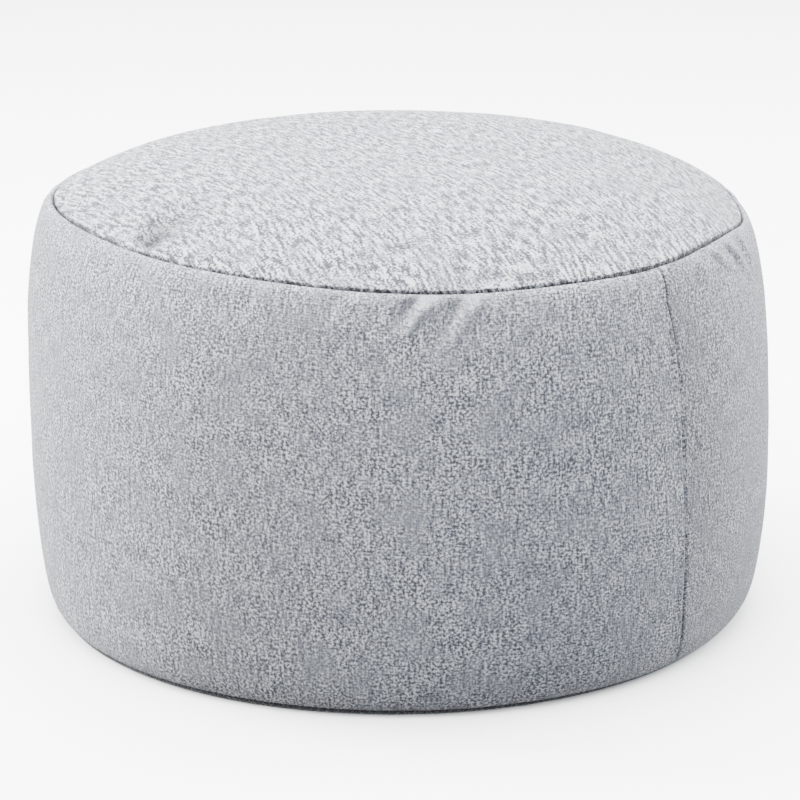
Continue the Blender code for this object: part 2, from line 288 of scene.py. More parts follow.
def band_closed():
    """The band's outside, and plain seats under both panels that close it round the filling."""
    outside = band_outside()
    seat_drop = CLOTH + SEAT_GAP
    crown_drop = 2.0 * seat_drop
    low_radius = outside[0][0] - seat_drop - TURN_IN
    low_height = outside[0][1] + SEAM_GAP
    high_radius = outside[-1][0] - seat_drop - TURN_IN
    high_height = outside[-1][1] - SEAM_GAP
    base_seat = [(0.0, seat_drop + SEAT_GAP), (low_radius - BASE_CURL, seat_drop + SEAT_GAP)]
    base_seat += [(low_radius, low_height), (outside[0][0], low_height)]
    radii = [0.0] + spaced(0.0, high_radius, SEAT_RINGS)
    top_seat = [(radius, crown_height(radius) - crown_drop) for radius in radii]
    return base_seat + outside + [(outside[-1][0], high_height), (high_radius, high_height)] + top_seat[::-1]


for made in (top_outside, base_outside, band_closed):
    print(made.__name__, len(made()), "rings")

# %% [markdown]
# ## The join seam, the puckers and the dent
# The band is a strip, so its two ends meet in one upright seam, with a groove and the soft welt of the
# turned-in cloth beside it. Where the band was a little longer than the panel it was sewn to, the
# spare length stands in short puckers under the seam. On the left of the top, the panel is pulled
# down into a short trough. Their places are written down one by one, the join and the puckers as
# rows of two tables and the trough as a few values, because a maker would mark them too.

# %% Tables of what is sewn and gathered
JoinPoint = namedtuple("JoinPoint", "height angle depth shade")
JOIN_SEAM = (
    JoinPoint(height=0.010, angle=-40.4, depth=0.0014, shade=0.75),
    JoinPoint(height=0.060, angle=-42.9, depth=0.0013, shade=0.60),
    JoinPoint(height=0.141, angle=-44.6, depth=0.0011, shade=0.35),
    JoinPoint(height=0.210, angle=-45.8, depth=0.0012, shade=0.35),
    JoinPoint(height=0.240, angle=-46.7, depth=0.0017, shade=0.90),
    JoinPoint(height=0.257, angle=-47.6, depth=0.0019, shade=1.00),
    JoinPoint(height=0.268, angle=-47.2, depth=0.0019, shade=0.90),
    JoinPoint(height=0.276, angle=-47.3, depth=0.0019, shade=0.90),
)
JOIN_SPREAD = 25.0
GROOVE_WIDTH = 0.0013
WELT_OFFSET = 0.0030
WELT_WIDTH = 0.0021
WELT_SHARE = 0.55
STEP_SHARE = 0.45
STEP_REACH = 0.016         # how far beside the join the lower layer's edge still shows

Pucker = namedtuple("Pucker", "angle drift reach width depth")
PUCKERS = (
    Pucker(angle=-87.7, drift=-4.4, reach=0.028, width=0.0062, depth=0.0068),
    Pucker(angle=-81.2, drift=-4.4, reach=0.034, width=0.0066, depth=0.0056),
    Pucker(angle=-77.9, drift=-0.2, reach=0.034, width=0.0036, depth=0.0015),
    Pucker(angle=-73.6, drift=-0.3, reach=0.026, width=0.0055, depth=0.0014),
    Pucker(angle=-98.7, drift=-3.0, reach=0.026, width=0.0080, depth=0.0018),
    Pucker(angle=-113.2, drift=-0.5, reach=0.028, width=0.0080, depth=0.0012),
    Pucker(angle=-137.2, drift=7.0, reach=0.030, width=0.0070, depth=0.0024),
    Pucker(angle=-56.8, drift=-1.5, reach=0.020, width=0.0060, depth=0.0011),
    Pucker(angle=-39.4, drift=1.9, reach=0.028, width=0.0060, depth=0.0011),
    Pucker(angle=-34.3, drift=6.5, reach=0.022, width=0.0050, depth=0.0018),
    Pucker(angle=-28.5, drift=9.4, reach=0.030, width=0.0056, depth=0.0024),
    Pucker(angle=-21.4, drift=6.2, reach=0.030, width=0.0062, depth=0.0020),
    Pucker(angle=12.0, drift=-4.0, reach=0.026, width=0.0090, depth=0.0014),
    Pucker(angle=47.0, drift=3.0, reach=0.030, width=0.0100, depth=0.0016),
    Pucker(angle=88.0, drift=5.0, reach=0.028, width=0.0090, depth=0.0014),
    Pucker(angle=131.0, drift=-4.0, reach=0.030, width=0.0100, depth=0.0016),
    Pucker(angle=168.0, drift=3.0, reach=0.026, width=0.0090, depth=0.0014),
)
LONG_SLOPE = 1.3           # a pucker's two sides, in its own widths
SHORT_SLOPE = 0.50
SHORT_SHADE_POWER = 4      # its shade stops sharply on the short side, at the foot of the ridge
RIDGE_OFFSET = 1.3
RIDGE_WIDTH = 0.75
RIDGE_SHARE = 0.95
PUCKER_ONSET = 0.30
PUCKER_TAPER = 1.0
# where a pucker pulls the cloth smooth it is painted paler: even yarns and a painted highlight
TAUT_OFFSET = 0.9
TAUT_WIDTH = 2.1
TAUT_TAPER = 0.6
TAUT_GAIN = 150.0

DENT_ANGLE = -138.2
DENT_DRIFT = -2.2
DENT_OUTER = 0.2278
DENT_INNER = 0.172
DENT_WIDTH = 0.0160
DENT_DEPTH = 0.0046
# painted shade in the trough, as a share of how far it is out of the light
DENT_SHADE = 1.05
DENT_ONSET = 0.20
DENT_TAPER = 0.8
DENT_BRIM = 0.6            # how much the cloth stands up again beside the trough

print(len(PUCKERS), "puckers,", len(JOIN_SEAM), "heights on the join seam")


# %% What the tables press into the cloth
def join_at(height):
    """The join seam's place, depth and shade at a height."""
    height = min(max(height, JOIN_SEAM[0].height), JOIN_SEAM[-1].height)
    for low, high in zip(JOIN_SEAM, JOIN_SEAM[1:]):
        if height <= high.height:
            break
    share = (height - low.height) / (high.height - low.height)
    return JoinPoint(*(before + (after - before) * share for before, after in zip(low, high)))


def with_join(angle, height):
    """The cloth's upright lines drift with the join seam, less and less away from it."""
    top_angle = JOIN_SEAM[-1].angle
    nearness = exp(-((away_from(top_angle, angle) / JOIN_SPREAD) ** 2))
    return angle + (join_at(height).angle - top_angle) * nearness


def puckered(radius, angle, below):
    """How deep the band is gathered here, how much painted shade its hollow takes, and how far the cloth is
    pulled smooth and paler.
    """
    depth = 0.0
    hollow = 0.0
    taut_highlight = 0.0
    for pucker in PUCKERS:
        along = below / pucker.reach
        if 0.0 < along < 1.0:
            centre = pucker.angle + pucker.drift * along
            across = radius * radians(away_from(centre, angle)) / pucker.width
            valley = exp(-((across / (LONG_SLOPE if across < 0.0 else SHORT_SLOPE)) ** 2))
            ridge = RIDGE_SHARE * exp(-(((across - RIDGE_OFFSET) / RIDGE_WIDTH) ** 2))
            fade = ease(along / PUCKER_ONSET) * (1.0 - along) ** PUCKER_TAPER
            depth += pucker.depth * (valley - ridge) * fade
            shaded = valley if across < 0.0 else valley ** SHORT_SHADE_POWER
            hollow = max(hollow, pucker.depth * shaded * fade)
            pull = exp(-(((across - TAUT_OFFSET) / TAUT_WIDTH) ** 2)) * (1.0 - along) ** TAUT_TAPER
            taut_highlight = max(taut_highlight, pucker.depth * pull)
    return depth, hollow, min(TAUT_GAIN * taut_highlight, 1.0)


def join_depth(radius, angle, height):
    """How deep the join presses in here, below zero on the welt that stands beside its groove."""
    join = join_at(height)
    across = radius * radians(away_from(join.angle, angle))
    groove = exp(-((across / GROOVE_WIDTH) ** 2))
    welt = WELT_SHARE * exp(-(((across + WELT_OFFSET) / WELT_WIDTH) ** 2))
    step = STEP_SHARE * exp(-across / STEP_REACH) * (1.0 - groove) if across > 0.0 else 0.0
    return join.depth * (groove - welt + step * ease((height - BELLY_HEIGHT) / BELLY_HEIGHT))


def dented(radius, angle):
    """How far the top panel is pulled down here, and how much of that is out of the light."""
    along = (DENT_OUTER - radius) / (DENT_OUTER - DENT_INNER)
    if not 0.0 < along < 1.0:
        return 0.0, 0.0
    across = radius * radians(away_from(DENT_ANGLE + DENT_DRIFT * along, angle)) / DENT_WIDTH
    hollow = exp(-across ** 2) * ease(along / DENT_ONSET) * (1.0 - along) ** DENT_TAPER
    return DENT_DEPTH * (1.0 - DENT_BRIM * across ** 2) * hollow, DENT_SHADE * hollow


deepest = max(puckered(TOP_SEAM_RADIUS, step / 4.0, 0.01)[0] for step in range(-720, 720))
print("deepest pucker 10 mm under the seam:", round(1000.0 * deepest, 2), "mm")

# %% [markdown]
# ## Small unevenness
# Filling never presses evenly. Slow, shallow swells a few centimetres across keep the long sides from
# looking turned on a lathe. Along the seams, the stitches hold the lip in at some places and let it
# stand off at others, so the seam line is thin and wide by turns. Its darkness is a painted shade, given
# further down.

# %% Swells and an uneven seam
SWELL_SPAN = 0.075
SWELL_DEPTH = 0.0011
RIPPLE_SPAN = 0.024
RIPPLE_DEPTH = 0.00035
RIPPLE_SHIFT = Vector((7.0, 3.0, 5.0))
STITCH_SPAN = 0.0045
STITCH_DEPTH = 0.00022
SEAM_SPAN = 0.022
SEAM_DEPTH = 0.00055
SEAM_STAND = 0.6           # share of that depth by which a lip stands off on average
STITCH_DRIFT = 2.0         # radians by which the stitches stray from even spacing


def swell(place):
    """A shallow uneven height at a place on the drum."""
    slow = noise.noise(place / SWELL_SPAN)
    quick = noise.noise(place / RIPPLE_SPAN + RIPPLE_SHIFT)
    return SWELL_DEPTH * slow + RIPPLE_DEPTH * quick


def uneven(length, span, row, layer):
    """Slow noise along a seam. Another row or layer gives another run of it."""
    return noise.noise(Vector((length / span, row, layer)))


def seam_slack(radius, angle, side):
    """How far a lip stands off its seam: slow changes, and a dimple at each stitch."""
    length = radius * radians(angle)
    slow = uneven(length, SEAM_SPAN, 4.0 * side, 0.0)
    pull = 0.5 + 0.5 * cos(2.0 * pi * length / STITCH_SPAN + STITCH_DRIFT * slow)
    return SEAM_DEPTH * (SEAM_STAND + slow) + STITCH_DEPTH * pull


print("a stitch every", round(1000.0 * STITCH_SPAN, 1), "mm")

# %% [markdown]
# ## Spinning a piece
# Spin turns a profile round the axis. The turn is made in arcs, with the meridians close together at
# the front, where the puckers are narrow, and at the join seam, and wider apart at the back. Each arc
# is a mesh of its own, because spin slows down as its mesh grows, and they are joined afterwards. The
# first starts at the join, where the strip's own weave starts and ends. A number carried by every
# point, its distance along the profile, becomes one direction of the cloth's UV map in metres, so
# that the weave keeps one scale over the whole cover.

# %% Spin helper
Arc = namedtuple("Arc", "sweep steps")
ARCS = (
    Arc(sweep=3.0, steps=24),
    Arc(sweep=32.0, steps=60),
    Arc(sweep=70.0, steps=76),
    Arc(sweep=77.3, steps=84),
    Arc(sweep=70.0, steps=76),
    Arc(sweep=30.0, steps=56),
    Arc(sweep=30.0, steps=48),
    Arc(sweep=20.0, steps=80),
    Arc(sweep=24.7, steps=46),
    Arc(sweep=3.0, steps=24),
)
MERGE_DISTANCE = 0.00001


def turned_arc(profile, start, arc):
    """One arc of a turned shape as a mesh, each point knowing how far along the profile it lies."""
    bm = bmesh.new()
    along_layer = bm.verts.layers.float.new("along")
    turn = radians(start)
    points = []
    along = 0.0
    before = profile[0]
    for radius, height in profile:
        along += hypot(radius - before[0], height - before[1])
        before = (radius, height)
        point = bm.verts.new((radius * cos(turn), radius * sin(turn), height))
        point[along_layer] = along
        points.append(point)
    line = points + [bm.edges.new(pair) for pair in zip(points, points[1:])]
    bmesh.ops.spin(bm, geom=line, cent=(0.0, 0.0, 0.0), axis=(0.0, 0.0, 1.0),
                   angle=radians(arc.sweep), steps=arc.steps, use_merge=False)
    mesh = bpy.data.meshes.new("arc")
    bm.to_mesh(mesh)
    bm.free()
    return mesh


def spun(profile):
    """A whole turned shape, its arcs joined and its faces pointing outwards."""
    bm = bmesh.new()
    start = JOIN_SEAM[-1].angle
    for arc in ARCS:
        mesh = turned_arc(profile, start, arc)
        bm.from_mesh(mesh)
        bpy.data.meshes.remove(mesh)
        start += arc.sweep
    bmesh.ops.remove_doubles(bm, verts=bm.verts[:], dist=MERGE_DISTANCE)
    bmesh.ops.recalc_face_normals(bm, faces=bm.faces[:])
    return bm


def bearing(co):
    """The angle at which a point lies round the axis."""
    return degrees(atan2(co.y, co.x))


def map_cloth(bm, place):
    """A UV map in metres: place turns an angle and a distance along the profile into cloth."""
    along_layer = bm.verts.layers.float["along"]
    uv_layer = bm.loops.layers.uv.new("cloth")
    for face in bm.faces:
        middle = bearing(face.calc_center_median())
        around = (middle - JOIN_SEAM[-1].angle) % 360.0
        for loop in face.loops:
            on_axis = hypot(loop.vert.co.x, loop.vert.co.y) < MERGE_DISTANCE
            turn = around if on_axis else around + away_from(middle, bearing(loop.vert.co))
            loop[uv_layer].uv = place(turn, loop.vert[along_layer])


def finished(name, bm):
    """The bmesh as a smooth object at the origin."""
    mesh = bpy.data.meshes.new(name)
    bm.to_mesh(mesh)
    bm.free()
    mesh.shade_smooth()
    piece = bpy.data.objects.new(name, mesh)
    bpy.context.scene.collection.objects.link(piece)
    triangles = sum(len(face.vertices) - 2 for face in mesh.polygons)
    print(name, len(mesh.vertices), "points,", triangles, "triangles")
    return piece


# %% [markdown]
# ## The side band
# This is the filled piece, so it is closed: its outside shows, and plain seats under both panels
# complete it. The groove of the join and the puckers are pressed into the spun drum point by point,
# which keeps them crisp. They fade out on both lips, where the stitches hold the cloth.
# Light hardly reaches the bottom of a seam or a fold, and a fold pulls the yarns beside it even. So each
# point also carries two painted values for the cloth to read: a painted shade where light hardly reaches,
# and how far a fold pulls the cloth smooth, which is painted paler, partly its even yarns and partly a
# painted highlight on the ridges.

# %% Side band
# painted shade of the seam lines: how wide it is, how its edge wanders and how it fades along the stitches
SEAM_SHADE_WIDTH = 0.0016
TUCK_WANDER = 0.0011
TUCK_SHORT_SPAN = 0.004
TUCK_LONG_SPAN = 0.015
SEAM_SHADE_FADE = 0.32
SEAM_SHADE_FADE_SPAN = 0.005
SEAM_SHADE_FADE_GAIN = 1.6
# painted shade in a pucker's hollow, per metre of its depth
HOLLOW_SHADE = 130.0
# painted shade along the join's groove, and on the lower cloth to its right
JOIN_SHADE_OFFSET = 0.0005
JOIN_SHADE_WIDTH = 0.0015
JOIN_LEE = 0.26
LEE_REACH = 0.085
LEE_FOOT = 0.05
LEE_RISE = 0.09
TIGHT_ANGLES = (-88.0, -46.0)
TIGHT_SPREAD = 17.0
TIGHT_TUCK = 1.3           # how much wider the painted shade line is where the seam is pulled hardest
PRESS_LIP = 0.7            # the lip's own widths over which puckers and swells fade out
SLACK_LIP = 3.0            # and over which the lip's unevenness does


def tuck_wander(angle, side):
    """The edge of the painted shade where the cloth disappears into a seam is never quite straight."""
    length = TOP_SEAM_RADIUS * radians(angle)
    return TUCK_WANDER * (uneven(length, TUCK_SHORT_SPAN, 7.0 * side, 1.0)
                          + uneven(length, TUCK_LONG_SPAN, 3.0 * side, 5.0))


def seam_shade_share(angle):
    """How much of its painted shade the seam line takes here, more and less by turns along the stitches."""
    length = TOP_SEAM_RADIUS * radians(angle)
    return 1.0 - SEAM_SHADE_FADE * ease(0.5 + SEAM_SHADE_FADE_GAIN * uneven(length, SEAM_SHADE_FADE_SPAN, 2.0, 8.0))


def tightness(angle):
    """Where the seam is pulled hardest: at the front, and where the join runs into it."""
    return max(exp(-((away_from(tight, angle) / TIGHT_SPREAD) ** 2)) for tight in TIGHT_ANGLES)


def join_shade(radius, angle, height):
    """How much painted shade the join takes: along its own line, and on the cloth that falls away to the
    right of it.
    """
    join = join_at(height)
    across = radius * radians(away_from(join.angle, angle))
    line = join.shade * exp(-((across - JOIN_SHADE_OFFSET) / JOIN_SHADE_WIDTH) ** 2)
    if across <= 0.0:
        return line
    lee = JOIN_LEE * ease((LEE_REACH - across) / LEE_REACH) * ease((height - LEE_FOOT) / LEE_RISE)
    return max(line, lee)


def strip_place(turn, along):
    """A band is a straight strip: round the drum is its length, up the side is its width."""
    return BELLY_RADIUS * radians(turn), along


def shape_band(bm):
    """Press the join and the puckers into the spun band, paint its shade and its smoothed, paler cloth, and
    settle it.
    """
    painted_shade = bm.verts.layers.float.new("painted_shade")
    taut_highlight = bm.verts.layers.float.new("taut_highlight")
    for vert in bm.verts:
        radius = hypot(vert.co.x, vert.co.y)
        height = vert.co.z
        angle = with_join(bearing(vert.co), height)
        low = height < BELLY_HEIGHT
        wall = BASE_WALL if low else TOP_SEAM_RADIUS
        stitched = tuck_wander(angle, 1.0 if low else -1.0)
        reach = SEAM_SHADE_WIDTH * (1.0 + TIGHT_TUCK * tightness(angle))
        # painted shade along the seam line, where the cloth turns into it
        vert[painted_shade] = seam_shade_share(angle) * (1.0 - ease((radius - wall - stitched) / reach))
        if radius >= wall - MERGE_DISTANCE:
            inwards = ease((radius - wall) / (PRESS_LIP * LIP_WIDTH))
            gathered, hollow, vert[taut_highlight] = puckered(radius, angle, TOP_SEAM_HEIGHT - height)
            # painted shade in the puckers' hollows, along the join and to its right
            shaded = HOLLOW_SHADE * hollow
            vert[painted_shade] = max(vert[painted_shade], join_shade(radius, angle, height), shaded)
            press = gathered + join_depth(radius, angle, height)
            slack = seam_slack(radius, angle, 1.0 if low else -1.0)
            slack *= 1.0 - ease((radius - wall) / (SLACK_LIP * LIP_WIDTH))
            place = Vector((radius * cos(radians(angle)), radius * sin(radians(angle)), height))
            radius += slack + inwards * (swell(place) - press)
        vert.co = settled(radius, angle, height)


band_mesh = spun(band_closed())
map_cloth(band_mesh, strip_place)
shape_band(band_mesh)
side_band = finished("side_band_cloth", band_mesh)

# %% [markdown]
# ## The top panel
# The panel is one disc, stretched over the filling. It is spun as a single surface with its rolled
# rim and then given the cloth's thickness with solidify, which keeps the roll even. Its weave runs
# front to back and clearly aslant, as the disc happened to be sewn on.

# %% Top panel
TOP_WEAVE_TURN = 26.0
TENSION_SPAN = 0.016
TENSION_DEPTH = 0.00045
TENSION_REACH = 0.030
HELD_CURL = 4.0            # the rim's own radii over which the swells fade out
TOP_TUCK = 0.2             # how far in from the rim the painted shade reaches, in widths of the seam's painted shade line
TOP_TUCK_TIGHT = 0.3
TOP_TUCK_WANDER = 0.4
TOP_TUCK_FADE = 0.25


def disc_place(turn, along):
    """A disc is cut flat: the distance from its middle and the turn give its place on the cloth."""
    bearing_on_cloth = radians(turn + JOIN_SEAM[-1].angle - TOP_WEAVE_TURN)
    return along * cos(bearing_on_cloth), along * sin(bearing_on_cloth)


def shape_top(bm):
    """Press the dent and the small waves into the spun top panel, paint the shade of the dent and the rim,
    and settle it.
    """
    painted_shade = bm.verts.layers.float.new("painted_shade")
    rim = TOP_SEAM_RADIUS - SEAM_GAP
    for vert in bm.verts:
        radius = hypot(vert.co.x, vert.co.y)
        height = vert.co.z
        angle = with_join(bearing(vert.co), height)
        place = Vector((radius * cos(radians(angle)), radius * sin(radians(angle)), 0.0))
        held = ease((TOP_SEAM_RADIUS - radius) / (HELD_CURL * TOP_CURL))
        tension = uneven(TOP_SEAM_RADIUS * radians(angle), TENSION_SPAN, 9.0, 2.0)
        tension *= TENSION_DEPTH * exp(-(TOP_SEAM_RADIUS - radius) / TENSION_REACH)
        dent, shaded = dented(radius, angle)
        height += held * (swell(place) + tension) - dent
        # painted shade in the dent and along the rim's seam line
        edge = (TOP_TUCK + TOP_TUCK_TIGHT * tightness(angle)) * SEAM_SHADE_WIDTH
        edge += TOP_TUCK_WANDER * tuck_wander(angle, 2.0)
        rim_shade = ease((radius - rim + edge) / (TOP_TUCK_FADE * SEAM_SHADE_WIDTH))
        vert[painted_shade] = max(shaded, seam_shade_share(angle) * rim_shade)
        vert.co = settled(radius, angle, height)


def thicken(bm):
    """Give the shaped surface the cloth's thickness, on its inner side."""
    bmesh.ops.solidify(bm, geom=bm.faces[:], thickness=CLOTH)


top_mesh = spun(top_outside())
map_cloth(top_mesh, disc_place)
shape_top(top_mesh)
thicken(top_mesh)
top_panel = finished("top_panel_cloth", top_mesh)

# %% [markdown]
# ## The base panel
# The disc underneath is pressed flat by the filling's weight. Only its rolled rim shows, as a thin
# line under the band, so it is made plainly.

# %% Base panel
BASE_TUCK = 0.6            # how far in from the rim the painted shade reaches, in radii of the rolled rim
BASE_TUCK_FADE = 0.5


def shape_base(bm):
    """Paint shade on the spun base panel's rim and settle it."""
    painted_shade = bm.verts.layers.float.new("painted_shade")
    rim = BASE_WALL - SEAM_GAP
    for vert in bm.verts:
        radius = hypot(vert.co.x, vert.co.y)
        # painted shade over the rolled rim, under the band and next to the floor
        vert[painted_shade] = ease((radius - rim + BASE_TUCK * BASE_CURL) / (BASE_TUCK_FADE * BASE_CURL))
        vert.co = settled(radius, with_join(bearing(vert.co), vert.co.z), vert.co.z)


base_mesh = spun(base_outside())
map_cloth(base_mesh, disc_place)
shape_base(base_mesh)
thicken(base_mesh)
base_panel = finished("base_panel_cloth", base_mesh)

# %% [markdown]
# ## The cloth
# The cover is a heathered polyester upholstery weave. Soft spun yarns, each blended from light and dark
# fibres, are laid in a loose hopsack, which passes one way and the other in floats under 2 mm wide.
# That gives the eye light and dark flecks, faint upright streaks, small deep gaps between yarns and a
# matt, slightly hairy face. A photo of the cloth could be wrapped round the drum, but a weave built
# from the UV map in millimetres stays sharp at any distance and follows the seams.
# The top is seen at a shallow angle, which runs its flecks together, so its streaks are stronger.

# %% Node helper and colours
def linear(hex_colour):
    """An sRGB hex colour as linear red, green, blue and alpha."""
    channels = [int(hex_colour[place:place + 2], 16) / 255.0 for place in (1, 3, 5)]
    return tuple(c / 12.92 if c <= 0.04045 else ((c + 0.055) / 1.055) ** 2.4 for c in channels) + (1.0,)


def add_node(tree, kind, takes=None, **settings):
    """A node with its settings, each input given as a value or as the output that feeds it."""
    made = tree.nodes.new(kind)
    for name, value in settings.items():
        setattr(made, name, value)
    for name, value in (takes or {}).items():
        socket = made.inputs[name]
        if isinstance(value, bpy.types.NodeSocket):
            tree.links.new(value, socket)
        else:
            socket.default_value = value
    return made.outputs


# %% Heathered hopsack
FLOAT_WIDTH_MM = 1.7       # one float of two soft yarns
YARN_WANDER_MM = 0.9       # how far the rows stray from straight lines
WANDER_SPAN_MM = 7.0
FLECK_MM = 1.75            # tufts of light and dark fibres, about as wide as a yarn
SLUB_WIDTH_MM = 2.6        # a stretch of yarn that came out lighter or darker
SLUB_LENGTH_MM = 13.0
PATCH_SPAN_MM = 28.0       # how far it is from a lively patch of cloth to a quiet one
WEAVE_RELIEF = 0.00035     # metres between a float's crown and the gap beside it
NOISE_SPREAD = 4.0         # noise seldom strays further from its middle than a quarter
GRAIN_DETAIL = 2.0
FLOAT_ROUNDING = 0.92      # how far round a float turns from edge to edge, in half turns
FLOAT_SINKING = 0.70       # and how far it does from end to end
FLOAT_MEAN = 0.52          # a float's mean height, as a share of its crown's

FLECK_SHARE = 2.3          # how much each layer moves the cloth's shade
SLUB_SHARE = 0.9
FLOAT_SHARE = 0.22
LIVELINESS = 1.8           # how much more a lively patch shows than a quiet one
TAUT_HIGHLIGHT = 0.74          # the paler tone of cloth pulled smooth: its even yarns and a painted highlight on the ridges
TAUT_SHARE = 0.75
PAINTED_SHADE_LEFT = 0.16        # the share of the colour left under full painted shade, in seams, hollows and the dent
FUZZ_SHARE = 0.4           # how much the tufts add to the floats' relief

TOP_FLECK_SHARE = 1.1 * FLECK_SHARE
TOP_SLUB_SHARE = 3.0 * SLUB_SHARE
TOP_SLUB_LENGTH_MM = 11.0

YARN_DARK = "#56585E"
YARN_MIDDLE = "#9C9FA9"
YARN_LIGHT = "#F8FAFF"
SOFT_SPUN_FINISH = {
    "Roughness": 0.92,
    "Specular IOR Level": 0.25,
    "Sheen Weight": 0.25,
    "Sheen Roughness": 0.45,
}


def grain(tree, width_mm, length_mm, place):
    """Noise about zero, drawn out along the warp."""
    scale = (1.0 / width_mm, 1.0 / length_mm, 1.0)
    stretched = add_node(tree, "ShaderNodeMapping", {"Vector": place, "Scale": scale})["Vector"]
    cloudy = add_node(tree, "ShaderNodeTexNoise",
                      {"Vector": stretched, "Scale": 1.0, "Detail": GRAIN_DETAIL},
                      noise_dimensions="2D")["Fac"]
    return add_node(tree, "ShaderNodeMath", {0: cloudy, 1: 0.5}, operation="SUBTRACT")[0]


def dome(tree, across, lengthwise):
    """A float is round across and sinks gently at both ends."""
    turned = add_node(tree, "ShaderNodeMath", {0: across, 1: pi * FLOAT_ROUNDING}, operation="MULTIPLY")[0]
    rounded = add_node(tree, "ShaderNodeMath", {0: turned}, operation="COSINE")[0]
    tipped = add_node(tree, "ShaderNodeMath",
                      {0: lengthwise, 1: pi * FLOAT_SINKING}, operation="MULTIPLY")[0]
    sunk = add_node(tree, "ShaderNodeMath", {0: tipped}, operation="COSINE")[0]
    return add_node(tree, "ShaderNodeMath", {0: rounded, 1: sunk}, operation="MULTIPLY")[0]


def hopsack_height(tree, place):
    """Squares of floats that lie along the warp and along the weft by turns."""
    cells = add_node(tree, "ShaderNodeVectorMath",
                     {0: place, "Scale": 1.0 / FLOAT_WIDTH_MM}, operation="SCALE")["Vector"]
    cell = add_node(tree, "ShaderNodeVectorMath", {0: cells}, operation="FLOOR")["Vector"]
    inside = add_node(tree, "ShaderNodeVectorMath", {0: cells}, operation="FRACTION")["Vector"]
    number = add_node(tree, "ShaderNodeSeparateXYZ", {0: cell})
    within = add_node(tree, "ShaderNodeSeparateXYZ", {0: inside})
    counted = add_node(tree, "ShaderNodeMath", {0: number["X"], 1: number["Y"]}, operation="ADD")[0]
    parity = add_node(tree, "ShaderNodeMath", {0: counted, 1: 2.0}, operation="FLOORED_MODULO")[0]
    across_warp = add_node(tree, "ShaderNodeMath", {0: within["X"], 1: 0.5}, operation="SUBTRACT")[0]
    across_weft = add_node(tree, "ShaderNodeMath", {0: within["Y"], 1: 0.5}, operation="SUBTRACT")[0]
    return add_node(tree, "ShaderNodeMix", {
        "Factor": parity,
        "A": dome(tree, across_warp, across_weft),
        "B": dome(tree, across_weft, across_warp),
    })["Result"]


